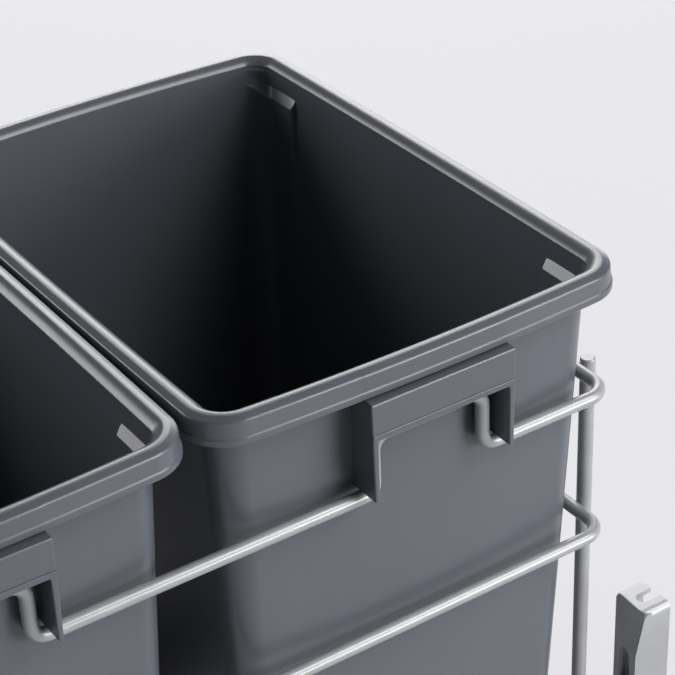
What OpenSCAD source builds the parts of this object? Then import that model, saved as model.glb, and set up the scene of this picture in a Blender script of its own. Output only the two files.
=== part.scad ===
// Pull-out bin frame: two hanging bins in a bent-wire frame on full-extension slides.
// +X is the pull direction, Y runs across the cabinet, Z is up from the cabinet floor.
// The origin is the centre of the floor screws, on the floor.

/* [Bins] */
// Length of a bin's rim along the pull direction
bin_l = 236; // [210:1:260]
// Width of a bin's rim across the frame
bin_w = 328; // [300:1:360]
// Height of a bin from its foot to the top of its rim
bin_h = 410; // [380:1:450]
// Free gap between the skirts of the two bins
bin_gap = 1; // [0.8:0.2:10]
// Height of a bin's foot above the cross straps
bin_foot_gap = 11; // [6:1:20]
// Wall thickness of a bin
bin_wall = 2.4; // [1.8:0.1:3.2]
// Draft of a bin's walls in degrees
bin_draft = 2.2; // [1.5:0.1:3]
// Fillet radius between walls and floor of a bin
foot_r = 8; // [5:0.5:12]
// Width of the foot ring that a bin stands on
foot_w = 12; // [8:1:20]
// Height that the floor is raised inside the foot ring
foot_recess = 3; // [2:0.5:5]
// Radius of a bin's upright corners
wall_corner_r = 15; // [12:1:18]

/* [Rim] */
// Width of the rim from its outer edge to the bin's mouth
rim_w = 12.5; // [11.5:0.1:14]
// Corner radius of the rim's outline
rim_corner_r = 21; // [19:1:32]
// Thickness of the rim's top
rim_t = 2.2; // [1.8:0.1:2.6]
// Height of the skirt's lower edge below the rim's crest
skirt_h = 13.6; // [11:0.2:18]
// Thickness of the skirt
skirt_t = 2.2; // [1.8:0.1:2.6]
// Outward lean of the skirt from top to bottom
skirt_flare = 1; // [0.6:0.1:1.4]
// Height of the thicker lip along the skirt's lower edge
lip_h = 3.6; // [2:0.2:4]
// Height and depth of the step above that lip
lip_step = 0.5; // [0.3:0.1:0.6]
// Radius of the rim's outer top edge
edge_r = 1.2; // [0.8:0.1:1.6]
// Drop from the crest to the outer top edge
edge_drop = 1.4; // [1.2:0.1:3]
// Distance of the crest inside the outer edge
crest_u = 5; // [4.6:0.1:6.4]
// Width of the rounded crest
crest_w = 3.6; // [2.8:0.1:4]
// Height of the rounding of the crest
crest_round = 0.5; // [0.3:0.05:0.7]
// Width of the ledge round the mouth
mouth_ledge_w = 3; // [2.6:0.1:3.4]
// Drop from the crest to that ledge
mouth_ledge_drop = 3.4; // [2.8:0.1:3.8]
// Radius of the mouth's inner edge
mouth_r = 1.6; // [1:0.1:2]
// Outward bow of the sides that face the rails
crown_side = 4.1; // [2:0.1:6]
// Outward bow of the sides that face along the pull direction
crown_end = 1.1; // [0.8:0.1:4]

/* [Bin hooks] */
// Length of a hook along the pull direction
hook_l = 81; // [76:1:96]
// Forward offset of the hooks from the bin's middle
hook_shift = 2; // [0:0.5:6]
// Distance from the rim's edge to a hook's outer face
hook_out = 5.4; // [4:0.2:8]
// Gap between the skirt's lower edge and a hook's top
hook_gap = 0.8; // [0.4:0.1:1.5]
// Height of a hook's front plate
plate_h = 19.3; // [17:0.1:22]
// Thickness of a hook's front plate
plate_t = 2.6; // [2:0.1:3]
// Height of the ribs that stand on the rail
rib_h = 53; // [48:0.5:60]
// Thickness of these ribs
rib_t = 3.5; // [2.5:0.1:4]
// Narrowing of a rib's outer side towards its foot
rib_taper = 0.8; // [0.4:0.1:1.2]
// Height of the proud lip along the front plate's lower edge
hook_lip_h = 3; // [2:0.2:4]
// Distance that this lip stands proud of the plate
hook_lip_out = 0.6; // [0.4:0.1:1]
// Radius of the front plate's corners
hook_edge_r = 0.8; // [0.5:0.1:0.9]

/* [Stacking shoulders] */
// Length of a shoulder from the inside corner of the bin
lug_l = 36; // [25:1:50]
// Distance that a shoulder stands in from the wall
lug_out = 4.5; // [3:0.1:6]
// Depth of a shoulder's upper edge below the rim
lug_top = 14; // [9:0.5:25]
// Height of a shoulder's sloping top
lug_slope_h = 7.5; // [5:0.5:12]
// Height over which a shoulder fades back into the wall
lug_fade_h = 70; // [50:5:110]

/* [Wire frame] */
// Diameter of the hoop wire
wire_d = 7; // [6:0.1:8]
// Diameter of the upright posts
post_d = 8; // [7:0.1:9]
// Distance of the rails inside the rim's edge
rail_inset = 7; // [6:0.1:8]
// Distance of the hoops' end bars inside the outer rim edges
bar_inset = 8; // [6:0.1:9]
// Centre-line radius of the hoops' corners
hoop_corner_r = 12; // [9:0.5:16]
// Drop from the upper hoop to the lower hoop
hoop_step = 85; // [70:1:120]
// Distance between the legs of a rail's hump
hump_l = 60.4; // [50:0.2:60.6]
// Height of a rail's hump
hump_h = 30; // [26:0.5:42]
// Centre-line radius of the hump's bends
bend_r = 8; // [7.5:0.1:10]
// Distance of the posts inside the rails
post_inset = 24.4; // [20:0.2:40]
// Height of the posts' ends above the upper hoop
post_over = 1; // [0.5:0.1:6]
// Chamfer on the posts' ends
post_chamfer = 0.8; // [0.4:0.1:1.5]

/* [Slides] */
// Length of a closed slide
slide_l = 450; // [430:1:456]
// Height of a slide
slide_h = 46; // [45:0.2:50]
// Thickness of a slide
slide_t = 12.7; // [12.5:0.1:14]
// Sheet thickness of the slide's three rails
rail_sheet = 1.2; // [1:0.05:1.3]
// Ball diameter
ball_d = 4.2; // [4:0.05:4.4]
// Number of balls in one row
ball_count = 12; // [6:1:16]
// Length of a ball cage
cage_l = 210; // [150:1:214]
// Thickness of the cages' arms
cage_t = 0.8; // [0.6:0.05:1]
// Thickness of the cages' webs
cage_web_t = 0.6; // [0.5:0.05:0.7]
// Drop of the lips that keep the balls in the rails
lip_drop = 1.3; // [1:0.1:1.4]
// Height of a slide above the floor flange
slide_lift = 3; // [2:0.5:8]
// Distance of the rails outboard of the slides' inner faces
slide_set_in = 2.7; // [2:0.1:4]
// Thickness of the rubber end stop
bumper_t = 5.7; // [4:0.1:8]
// Height of the rubber end stop
bumper_h = 18; // [12:0.5:20]

/* [Sheet-metal base] */
// Thickness of the folded sheet parts
sheet_t = 2; // [1.5:0.1:2.5]
// Width of the floor flanges
flange_w = 30; // [28:0.5:34]
// Width of the two cross straps
strap_w = 30; // [24:1:40]
// Distance from the floor screws to a strap's end
strap_end = 6; // [4:0.5:8]
// Spacing of the floor screws along the pull direction
floor_span_x = 380; // [340:1:396]
// Distance from a flange's inner edge to its floor screws
floor_hole_edge = 6; // [4:0.5:8]
// Diameter of the floor screw holes
floor_hole_d = 4.5; // [4:0.1:5.5]
// Diameter of the rivets that hold the slides
rivet_d = 4; // [3:0.1:5]
// Height of a rivet's head
rivet_head_h = 1.2; // [0.8:0.1:1.6]
// Length of the row of rivets along one slide
rivet_row_l = 360; // [300:1:380]
// Gap between a slide and the ledge above it
ledge_gap = 5; // [3:0.5:10]
// Width of the ledge that carries the bottom hoop
ledge_w = 11; // [9.5:0.5:12]
// Height of the windows in the slide brackets
window_h = 8; // [5:0.5:9]
// Length of these windows
window_l = 60; // [40:1:70]

/* [Front] */
// Depth of the front carrier in front of the posts
carrier_d = 19.4; // [16:0.2:26]
// Height of the front carrier
carrier_h = 60; // [56:1:66]
// Height of the carrier's lower edge above the floor flange
carrier_lift = 20; // [12:1:24]
// Height of a door bracket
door_h = 178; // [170:1:200]
// Width of a door bracket at its top
door_w = 24; // [23:0.5:30]
// Depth of a door bracket
door_d = 17.5; // [16:0.5:24]
// Wall thickness of a door bracket
door_wall = 2.5; // [2:0.1:2.8]
// Distance of a door bracket's outer side outboard of the rails
door_out = 2; // [0:0.5:4]
// Narrowing of a door bracket's rear wall below the top
door_flare = 6.5; // [4:0.1:6.6]
// Height over which the rear wall narrows
door_flare_h = 34; // [25:1:40]
// Thickness of the forked top
fork_t = 3; // [2.5:0.1:4]
// Width of the slot in the forked top
fork_slot_w = 6.5; // [5:0.1:8]
// Depth of the slot in the forked top
fork_slot_d = 10; // [7:0.5:12]
// Width of the tall slots in the rear wall
access_w = 8.6; // [7:0.1:9]
// Height of the tall slots in the rear wall
access_h = 26; // [20:0.5:30]
// Distance from the bracket's top to its upper tall slot
access_top = 33; // [30:1:40]
// Spacing of the door screws on one bracket
door_span = 48; // [42:1:50]
// Width of the door screw slots
door_slot_w = 5.2; // [4.2:0.1:6]
// Height of the door screw slots
door_slot_h = 16; // [10:0.5:20]
// Drop from the bracket's top to its front wall
front_wall_drop = 20; // [12:1:26]
// Shank diameter of the bracket screws
screw_d = 6; // [5:0.1:6]
// Head diameter of the bracket screws
screw_head_d = 10.5; // [9:0.1:11]
// Head height of the bracket screws
screw_head_h = 3.4; // [2.5:0.1:4]
// Diameter of the flat on top of these heads
screw_top_d = 8.4; // [7:0.1:8.8]
// Width across the flats of the screws' sockets
socket_w = 3; // [2.5:0.5:4]
// Spacing of the bracket screws
screw_span = 30; // [24:1:32]
// Width across the flats of the weld nuts
nut_w = 10; // [9.5:0.1:11]
// Thickness of the weld nuts
nut_h = 5; // [4:0.1:6]

/* [Clearances] */
// Gap between parts that rest on each other but come apart
seat_gap = 0.3; // [0.2:0.05:0.5]
// Depth that welded wires sink into each other
weld_bite = 0.4; // [0.2:0.05:0.6]
// Side clearance of balls between the rails
ball_clear = 0.05; // [0.03:0.01:0.1]
// Radial clearance of the balls in their cages
cage_clear = 0.1; // [0.05:0.01:0.2]
// Radial clearance of rivets and screws in their holes
shank_clear = 0.1; // [0.05:0.05:0.2]
// Radial clearance of screws in slots and holes that allow adjustment
adjust_clear = 0.3; // [0.2:0.05:0.5]
// Gap between the webs of neighbouring slide rails
web_gap = 1; // [0.9:0.05:1.1]
// Gap between a cage's arms and the lips of the rails
arm_gap = 0.25; // [0.2:0.05:0.4]

/* [Hidden] */

// Sides of the object, seen by someone who stands in front of the door: left is +Y
left = 1;
right = -1;
front = 1;
rear = -1;

// Overlap that makes a cut run past a face
eps = 0.5;
round_fn = 48;
edge_fn = 8;

// Colours as the object shows them
plastic_colour = [0.27, 0.29, 0.32];
wire_colour = [0.74, 0.75, 0.76];
sheet_colour = [0.66, 0.67, 0.69];
zinc_colour = [0.78, 0.79, 0.8];
bracket_colour = [0.72, 0.73, 0.75];
rubber_colour = [0.1, 0.1, 0.11];

// Places of the bins, hoops and posts
bin_x = (bin_l + bin_gap) / 2 + skirt_flare;
strap_top_z = 2 * sheet_t;
foot_z = strap_top_z + bin_foot_gap;
rim_z = foot_z + bin_h;
hook_top = skirt_h + hook_gap;
rib_foot = hook_top + rib_h;
rail_z = rim_z - rib_foot - seat_gap - wire_d / 2;
lower_z = rail_z - hoop_step;
rail_y = bin_w / 2 - rail_inset;
hoop_x = bin_x + bin_l / 2 - bar_inset;
post_x = hoop_x + (wire_d + post_d) / 2 - weld_bite;
post_y = rail_y - post_inset;
post_top_z = rail_z + wire_d / 2 + post_over;

// Places of the slides and of what they carry
slide_z = sheet_t + slide_lift + slide_h / 2;
slide_inner_y = rail_y - slide_set_in;
slide_back_y = slide_inner_y + slide_t;
floor_y = slide_back_y + sheet_t - flange_w + floor_hole_edge;
travel_half = slide_l / 2;
ledge_z = slide_z + slide_h / 2 + ledge_gap;
bottom_z = ledge_z + sheet_t + wire_d / 2 - weld_bite;
carrier_x = post_x + post_d / 2 - weld_bite;
carrier_z = sheet_t + carrier_lift;
door_x = carrier_x + carrier_d;
door_y = rail_y + door_out;
door_z = carrier_z;
web_w = door_w - door_flare;
web_mid = door_flare + web_w / 2;
screw_z = [for (s = [-1, 1]) carrier_h / 2 + s * screw_span / 2];
access_z = [for (i = [0, 1]) door_h - access_top - access_h / 2 - i * door_span];
rivet_x = [for (s = [-1, 0, 1]) s * rivet_row_l / 2];

// Slide section: u runs in from the cabinet wall, v runs up from the slide's middle
outer_flange_v = slide_h / 2 - rail_sheet;
race = ball_d + 2 * ball_clear;
middle_top_v = outer_flange_v - race;
middle_flange_v = middle_top_v - rail_sheet;
inner_top_v = middle_flange_v - race;
middle_web_u = rail_sheet + web_gap;
middle_tip_u = slide_t - rail_sheet - web_gap;
inner_tip_u = middle_web_u + rail_sheet + web_gap;
ball_u = (inner_tip_u + middle_tip_u) / 2;
cage_tip_u = middle_tip_u - rail_sheet - arm_gap;

// Rounded rectangle with bowed sides, as one ring of points at height z and inset u
corner_n = 6;
side_n = 6;
function corner_r(u) = max(wall_corner_r, rim_corner_r - u * (rim_corner_r - wall_corner_r) / rim_w);
function arc_points(cx, cy, r, a) =
    [for (i = [0:corner_n]) [cx + r * cos(a + 90 * i / corner_n), cy + r * sin(a + 90 * i / corner_n)]];
function between(p, q) = [for (i = [1:side_n - 1]) p + (q - p) * i / side_n];
function corner(i, hl, hw, r) =
    let (sx = [1, -1, -1, 1][i], sy = [1, 1, -1, -1][i])
    arc_points(sx * (hl - r), sy * (hw - r), r, 90 * i);
function outline(hl, hw, r) =
    [for (i = [0:3])
        let (here = corner(i, hl, hw, r), next = corner((i + 1) % 4, hl, hw, r))
        each concat(here, between(here[corner_n], next[0]))];
function bowed(p, hl, hw) =
    [p.x * (1 - crown_end / hl * pow(p.y / hw, 2)), p.y * (1 - crown_side / hw * pow(p.x / hl, 2))];
function bin_ring(u, z) =
    let (hl = bin_l / 2 - u, hw = bin_w / 2 - u)
    [for (p = outline(hl, hw, corner_r(u))) let (q = bowed(p, hl, hw)) [q.x, q.y, z]];

// Inset of the wall's inner and outer face at a depth below the crest
function mouth_u(depth) = rim_w + depth * tan(bin_draft);
function wall_u(depth) = mouth_u(depth) - bin_wall;

// Section of a bin as [inset, height] pairs, from under the foot, over the rim, to the floor inside
fillet_n = 3;
function fillet(u, z, r) =
    [for (i = [1:fillet_n]) let (a = 90 * i / fillet_n) [u + r * (1 - sin(a)), z + r * (1 - cos(a))]];
function reversed(list) = [for (i = [len(list) - 1:-1:0]) list[i]];
foot_u = wall_u(bin_h);
floor_depth = bin_h - foot_recess - bin_wall;
floor_u = mouth_u(floor_depth);
crest_in = crest_u + crest_w / 2;
crest_out = crest_u - crest_w / 2;
under_ledge = mouth_ledge_drop + rim_t;
foot_section = concat(
    [[foot_u + foot_r + foot_w + foot_recess, foot_recess - bin_h],
     [foot_u + foot_r + foot_w, -bin_h],
     [foot_u + foot_r, -bin_h]],
    fillet(foot_u, -bin_h, foot_r));
under_section =
    [[wall_u(under_ledge), -under_ledge],
     [crest_in, -crest_round - rim_t],
     [crest_out, -crest_round - rim_t],
     [skirt_t, -edge_drop - rim_t],
     [skirt_t - skirt_flare, -skirt_h]];
skirt_section =
    [[-skirt_flare, -skirt_h],
     [-skirt_flare, lip_h - skirt_h],
     [lip_step - skirt_flare, lip_h + lip_step - skirt_h]];
top_section = concat(
    [for (i = [0:fillet_n])
        let (a = 90 * i / fillet_n)
        [edge_r * (1 - cos(a)), -edge_drop - edge_r * (1 - sin(a))]],
    [[crest_out, -crest_round], [crest_u, 0], [crest_in, -crest_round],
     [rim_w - mouth_ledge_w, -mouth_ledge_drop]],
    [for (i = [0:fillet_n])
        let (a = 90 * i / fillet_n)
        [rim_w - mouth_r * (1 - sin(a)), -mouth_ledge_drop - mouth_r * (1 - cos(a))]]);
mouth_section = reversed(concat([[floor_u + foot_r, -floor_depth]], fillet(floor_u, -floor_depth, foot_r)));
bin_section = concat(foot_section, under_section, skirt_section, top_section, mouth_section);

module swept_shell() {
    rings = [for (s = bin_section) bin_ring(s[0], s[1])];
    n = len(rings[0]);
    last = len(rings) - 1;
    sides = [for (k = [0:last - 1], i = [0:n - 1])
        let (a = k * n + i, b = k * n + (i + 1) % n)
        each [[a, a + n, b], [b, a + n, b + n]]];
    polyhedron(
        points = [for (r = rings) each r],
        faces = concat(sides, [[for (i = [0:n - 1]) i]], [[for (i = [n - 1:-1:0]) last * n + i]]));
}

// One hook on the -Y wall: front plate with its lip, closed top and two ribs
hook_face = bin_w / 2 + hook_out;
hook_root = 0.5 * bin_wall;
function root_y(depth) = bin_w / 2 - wall_u(depth) - hook_root;

module rounded_slab(x0, x1, z0, z1, y0, y1) {
    hull()
        for (x = [x0 + hook_edge_r, x1 - hook_edge_r], z = [z0 + hook_edge_r, z1 - hook_edge_r])
            translate([x, y1, z])
                rotate([90, 0, 0])
                    cylinder(r = hook_edge_r, h = y1 - y0, $fn = edge_fn);
}

module hook_rib(x, taper_x) {
    hull() {
        translate([x + taper_x, -hook_face, -rib_foot])
            cube([rib_t - rib_taper, hook_face - root_y(rib_foot), eps]);
        translate([x, -hook_face, -hook_top - eps])
            cube([rib_t, hook_face - root_y(hook_top), eps]);
    }
}

module bin_hook() {
    x0 = hook_shift - hook_l / 2;
    x1 = hook_shift + hook_l / 2;
    rounded_slab(x0, x1, -hook_top - plate_h, -hook_top, -hook_face, plate_t - hook_face);
    rounded_slab(x0, x1, -hook_top - plate_h, hook_lip_h - hook_top - plate_h,
                 -hook_face - hook_lip_out, plate_t - hook_face);
    translate([x0, -hook_face + eps, -hook_top - plate_t])
        cube([hook_l, hook_face - root_y(hook_top) - eps, plate_t]);
    hook_rib(x0, rib_taper);
    hook_rib(x1 - rib_t, 0);
}

// Shoulder inside a front corner, sloping in from the wall and fading back into it
module shoulder_slice(depth, out) {
    wall_x = bin_l / 2 - mouth_u(depth) - crown_end;
    corner_y = bin_w / 2 - mouth_u(depth);
    translate([0, 0, -depth])
        linear_extrude(height = eps)
            intersection() {
                polygon([for (p = bin_ring(mouth_u(depth) - hook_root, 0)) [p.x, p.y]]);
                translate([wall_x - out, corner_y - lug_l])
                    square(2 * lug_l);
            }
}

module stacking_shoulder() {
    hull() {
        shoulder_slice(lug_top, 0);
        shoulder_slice(lug_top + lug_slope_h, lug_out);
        shoulder_slice(lug_top + lug_slope_h + lug_fade_h, 0);
    }
}

module bin(place) {
    color(plastic_colour)
        translate([place * bin_x, 0, rim_z]) {
            swept_shell();
            for (side = [left, right]) {
                scale([1, side, 1])
                    bin_hook();
                scale([1, side, 1])
                    stacking_shoulder();
            }
        }
}

// Bent round wire along a closed path of square corners
module rod(p, q, d) {
    along = q - p;
    long = norm(along);
    translate(p)
        rotate([0, acos(along.z / long), atan2(along.y, along.x)])
            cylinder(d = d, h = long, $fn = round_fn);
}

module quarter_bend(centre, u, v, r, d) {
    n = cross(u, v);
    multmatrix([[u.x, v.x, n.x, centre.x], [u.y, v.y, n.y, centre.y], [u.z, v.z, n.z, centre.z]])
        rotate_extrude(angle = 90, $fn = round_fn)
            translate([r, 0])
                circle(d = d, $fn = round_fn);
}

function toward(p, q) = (q - p) / norm(q - p);

module wire_loop(points, radii) {
    n = len(points);
    for (i = [0:n - 1]) {
        p = points[i];
        q = points[(i + 1) % n];
        d0 = toward(points[(i + n - 1) % n], p);
        d1 = toward(p, q);
        quarter_bend(p + radii[i] * (d1 - d0), -d1, d0, radii[i], wire_d);
        rod(p + radii[i] * d1, q - radii[(i + 1) % n] * d1, wire_d);
    }
}

function hoop_corners(z) =
    [[-hoop_x, -rail_y, z], [hoop_x, -rail_y, z], [hoop_x, rail_y, z], [-hoop_x, rail_y, z]];
function hump(x, y, dir) =
    [[x - dir * hump_l / 2, y, rail_z], [x - dir * hump_l / 2, y, rail_z + hump_h],
     [x + dir * hump_l / 2, y, rail_z + hump_h], [x + dir * hump_l / 2, y, rail_z]];
hump_x = [-bin_x + hook_shift, bin_x + hook_shift];

module plain_hoop(z) {
    color(wire_colour)
        wire_loop(hoop_corners(z), [for (i = [0:3]) hoop_corner_r]);
}

module upper_hoop() {
    c = hoop_corners(rail_z);
    near_side = concat([c[0]], hump(hump_x[0], -rail_y, 1), hump(hump_x[1], -rail_y, 1), [c[1]]);
    far_side = concat([c[2]], hump(hump_x[1], rail_y, -1), hump(hump_x[0], rail_y, -1), [c[3]]);
    bends = [for (i = [0:7]) bend_r];
    side_radii = concat([hoop_corner_r], bends, [hoop_corner_r]);
    color(wire_colour)
        wire_loop(concat(near_side, far_side), concat(side_radii, side_radii));
}

module lower_hoop() {
    plain_hoop(lower_z);
}

module bottom_hoop() {
    plain_hoop(bottom_z);
}

// Upright post, welded to the outside of the hoops' end bars
module post(place, side, z0) {
    color(wire_colour)
        translate([place * post_x, side * post_y, z0]) {
            h = post_top_z - z0;
            cylinder(d = post_d, h = h - post_chamfer, $fn = round_fn);
            translate([0, 0, h - post_chamfer])
                cylinder(d1 = post_d, d2 = post_d - 2 * post_chamfer, h = post_chamfer, $fn = round_fn);
        }
}

module front_post(side) {
    post(front, side, carrier_z);
}

module rear_post(side) {
    post(rear, side, ledge_z);
}

// Draws a part of the -Y side on the side that is asked for
module on_side(side) {
    scale([1, -side, 1])
        children();
}

// Vertical obround or round hole through a wall that faces along X
module slot_x(x0, x1, y, z, w, h) {
    reach = max(h - w, 0) / 2;
    for (s = [-1, 1])
        translate([x0, y, z + s * reach])
            rotate([0, 90, 0])
                cylinder(d = w, h = x1 - x0, $fn = round_fn);
    if (reach > 0)
        translate([x0, y - w / 2, z - reach])
            cube([x1 - x0, w, 2 * reach]);
}

// Round hole or shank through a wall that faces along Y, from y0 to y1
module round_y(x, y0, y1, z, d) {
    translate([x, y0, z])
        rotate([-90, 0, 0])
            cylinder(d = d, h = y1 - y0, $fn = round_fn);
}

// Folded bracket between a slide's inner rail and the bottom hoop
bracket_z0 = slide_z - inner_top_v;
bracket_y1 = -slide_inner_y;
bracket_y2 = bracket_y1 + sheet_t;
window_z = (slide_z + inner_top_v + ledge_z) / 2;
window_x = [for (s = [-1, 0, 1]) s * rivet_row_l / 3];
rivet_hole_d = rivet_d + 2 * shank_clear;

module slide_bracket(side) {
    color(sheet_colour)
        on_side(side)
            difference() {
                union() {
                    translate([-travel_half, bracket_y1, bracket_z0])
                        cube([carrier_x + travel_half, sheet_t, ledge_z + sheet_t - bracket_z0]);
                    translate([-travel_half, bracket_y2 - ledge_w, ledge_z])
                        cube([2 * travel_half, ledge_w, sheet_t]);
                }
                for (x = rivet_x)
                    round_y(x, bracket_y1 - eps, bracket_y2 + eps, slide_z, rivet_hole_d);
                for (x = window_x) {
                    for (s = [-1, 1])
                        round_y(x + s * (window_l - window_h) / 2, bracket_y1 - eps, bracket_y2 + eps,
                                window_z, window_h);
                    translate([x - (window_l - window_h) / 2, bracket_y1 - eps, window_z - window_h / 2])
                        cube([window_l - window_h, sheet_t + 2 * eps, window_h]);
                }
            }
}

// Rivet along Y with a domed head that starts at y1, on the inboard or outboard side
module rivet(x, y0, y1, z) {
    head_d = 2 * rivet_d;
    dir = y1 > y0 ? 1 : -1;
    round_y(x, min(y0, y1), max(y0, y1), z, rivet_d);
    translate([x, y1, z])
        rotate([-90 * dir, 0, 0]) {
            cylinder(d = head_d, h = rivet_head_h / 2, $fn = round_fn);
            translate([0, 0, rivet_head_h / 2])
                cylinder(d1 = head_d, d2 = rivet_d, h = rivet_head_h / 2, $fn = round_fn);
        }
}

module bracket_rivets(side) {
    color(zinc_colour)
        on_side(side)
            for (x = rivet_x)
                rivet(x, bracket_y1 - rail_sheet, bracket_y2, slide_z);
}

// Folded channel across the front that joins the posts and carries the door brackets
carrier_hole_d = screw_d + 2 * shank_clear;
carrier_half_w = rail_y;
screw_y = web_mid - door_y;

module front_carrier() {
    color(sheet_colour)
        difference() {
            union() {
                translate([door_x - sheet_t, -carrier_half_w, carrier_z])
                    cube([sheet_t, 2 * carrier_half_w, carrier_h]);
                for (z = [carrier_z, carrier_z + carrier_h - sheet_t])
                    translate([carrier_x, -carrier_half_w, z])
                        cube([carrier_d, 2 * carrier_half_w, sheet_t]);
            }
            for (side = [left, right], z = screw_z)
                slot_x(door_x - sheet_t - eps, door_x + eps, side * screw_y, carrier_z + z, carrier_hole_d, 0);
        }
}

module carrier_nuts() {
    color(zinc_colour)
        for (side = [left, right], z = screw_z)
            translate([door_x - sheet_t - nut_h, side * screw_y, carrier_z + z])
                rotate([0, 90, 0])
                    difference() {
                        cylinder(d = nut_w / cos(30), h = nut_h, $fn = 6);
                        translate([0, 0, -eps])
                            cylinder(d = carrier_hole_d, h = nut_h + 2 * eps, $fn = round_fn);
                    }
}

module bracket_screws(side) {
    head_x = door_x + door_wall;
    long = door_wall + sheet_t + nut_h + screw_d / 2;
    color(zinc_colour)
        on_side(side)
            for (z = screw_z)
                translate([head_x, screw_y, carrier_z + z])
                    rotate([0, 90, 0]) {
                        difference() {
                            cylinder(d1 = screw_head_d, d2 = screw_top_d, h = screw_head_h, $fn = round_fn);
                            translate([0, 0, screw_head_h / 2])
                                cylinder(d = socket_w / cos(30), h = screw_head_h, $fn = 6);
                        }
                        translate([0, 0, -long])
                            cylinder(d = screw_d, h = long, $fn = round_fn);
                    }
}

// Door bracket: cast channel, open to the front at its top, with a forked cap
function channel_plan(narrow, wall) =
    [[wall, narrow + wall], [door_d, wall], [door_d, door_w - wall], [wall, door_w - wall]];

module channel(wall, cap) {
    linear_extrude(height = door_h - door_flare_h)
        polygon(channel_plan(door_flare, wall));
    hull() {
        translate([0, 0, door_h - door_flare_h - eps / 100])
            linear_extrude(height = eps / 100)
                polygon(channel_plan(door_flare, wall));
        translate([0, 0, door_h - cap - eps / 100])
            linear_extrude(height = eps / 100)
                polygon(channel_plan(0, wall));
    }
}

module fork_slot() {
    slot_end = door_d - fork_slot_d + fork_slot_w / 2;
    translate([slot_end, door_w / 2, door_h - fork_t - eps]) {
        cylinder(d = fork_slot_w, h = fork_t + 2 * eps, $fn = round_fn);
        translate([0, -fork_slot_w / 2, 0])
            cube([door_d, fork_slot_w, fork_t + 2 * eps]);
    }
}

module door_bracket(side) {
    slot_d = screw_d + 2 * adjust_clear;
    driver_d = screw_head_d + 2 * adjust_clear;
    color(bracket_colour)
        on_side(side)
            translate([door_x, -door_y, door_z])
                difference() {
                    channel(0, 0);
                    difference() {
                        translate([0, 0, -eps])
                            channel(door_wall, fork_t - eps);
                        translate([door_d - door_wall, 0, -eps])
                            cube([door_wall, door_w, door_h - front_wall_drop + eps]);
                    }
                    fork_slot();
                    for (z = access_z) {
                        slot_x(-eps, door_wall + eps, web_mid, z, access_w, access_h);
                        slot_x(door_d - door_wall - eps, door_d + eps, web_mid, z, door_slot_w, door_slot_h);
                    }
                    for (z = screw_z) {
                        slot_x(-eps, door_wall + eps, web_mid, z, slot_d, slot_d + screw_d / 2);
                        slot_x(door_d - door_wall - eps, door_d + eps, web_mid, z, driver_d, 0);
                    }
                }
}

// Slide rails: sections in u and v, drawn along X on the -Y side
module slide_section(points, x0, long) {
    multmatrix([[0, 0, 1, x0], [1, 0, 0, -slide_back_y], [0, 1, 0, slide_z]])
        linear_extrude(height = long)
            polygon(points);
}

function both_halves(upper) = concat(upper, reversed([for (p = upper) [p[0], -p[1]]]));

outer_points = both_halves(
    [[rail_sheet, outer_flange_v], [slide_t - 2 * rail_sheet, outer_flange_v],
     [slide_t - 2 * rail_sheet, outer_flange_v - lip_drop], [slide_t - rail_sheet, outer_flange_v - lip_drop],
     [slide_t - rail_sheet, slide_h / 2], [0, slide_h / 2]]);
middle_points = both_halves(
    [[middle_web_u + rail_sheet, middle_flange_v], [middle_tip_u - rail_sheet, middle_flange_v],
     [middle_tip_u - rail_sheet, middle_flange_v - lip_drop], [middle_tip_u, middle_flange_v - lip_drop],
     [middle_tip_u, middle_top_v], [middle_web_u, middle_top_v]]);
inner_points = both_halves(
    [[slide_t - rail_sheet, inner_top_v - rail_sheet], [inner_tip_u, inner_top_v - rail_sheet],
     [inner_tip_u, inner_top_v], [slide_t, inner_top_v]]);

module outer_rail(side) {
    color(zinc_colour)
        on_side(side)
            difference() {
                slide_section(outer_points, -travel_half, slide_l);
                for (x = rivet_x)
                    round_y(x, -slide_back_y - eps, rail_sheet + eps - slide_back_y, slide_z, rivet_hole_d);
            }
}

module middle_rail(side) {
    color(zinc_colour)
        on_side(side)
            slide_section(middle_points, -travel_half, slide_l);
}

module inner_rail(side) {
    color(zinc_colour)
        on_side(side)
            difference() {
                slide_section(inner_points, -travel_half, slide_l);
                for (x = rivet_x)
                    round_y(x, bracket_y1 - rail_sheet - eps, bracket_y1 + eps, slide_z, rivet_hole_d);
            }
}

// Ball cages: a web strip with an arm between each pair of raceways
function cage_points(web_u, arm_v) = both_halves(
    [[web_u + cage_web_t, arm_v - cage_t / 2], [cage_tip_u, arm_v - cage_t / 2],
     [cage_tip_u, arm_v + cage_t / 2], [web_u, arm_v + cage_t / 2]]);
outer_ball_v = outer_flange_v - race / 2;
inner_ball_v = middle_flange_v - race / 2;
cage_web_gap = (web_gap - cage_web_t) / 2;
ball_pitch = cage_l / ball_count;
ball_x = [for (i = [0:ball_count - 1]) (i + 0.5) * ball_pitch - cage_l / 2];
cage_hole_d = ball_d + 2 * cage_clear;

module cage(side, web_u, ball_v) {
    color(sheet_colour)
        on_side(side)
            difference() {
                slide_section(cage_points(web_u + cage_web_gap, ball_v), -cage_l / 2, cage_l);
                for (x = ball_x, s = [-1, 1])
                    translate([x, ball_u - slide_back_y, slide_z + s * ball_v - cage_t])
                        cylinder(d = cage_hole_d, h = 2 * cage_t, $fn = round_fn);
            }
}

module balls(side, ball_v) {
    color(zinc_colour)
        on_side(side)
            for (x = ball_x, s = [-1, 1])
                translate([x, ball_u - slide_back_y, slide_z + s * ball_v])
                    sphere(d = ball_d, $fn = round_fn);
}

module outer_cage(side) {
    cage(side, rail_sheet, outer_ball_v);
}

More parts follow.
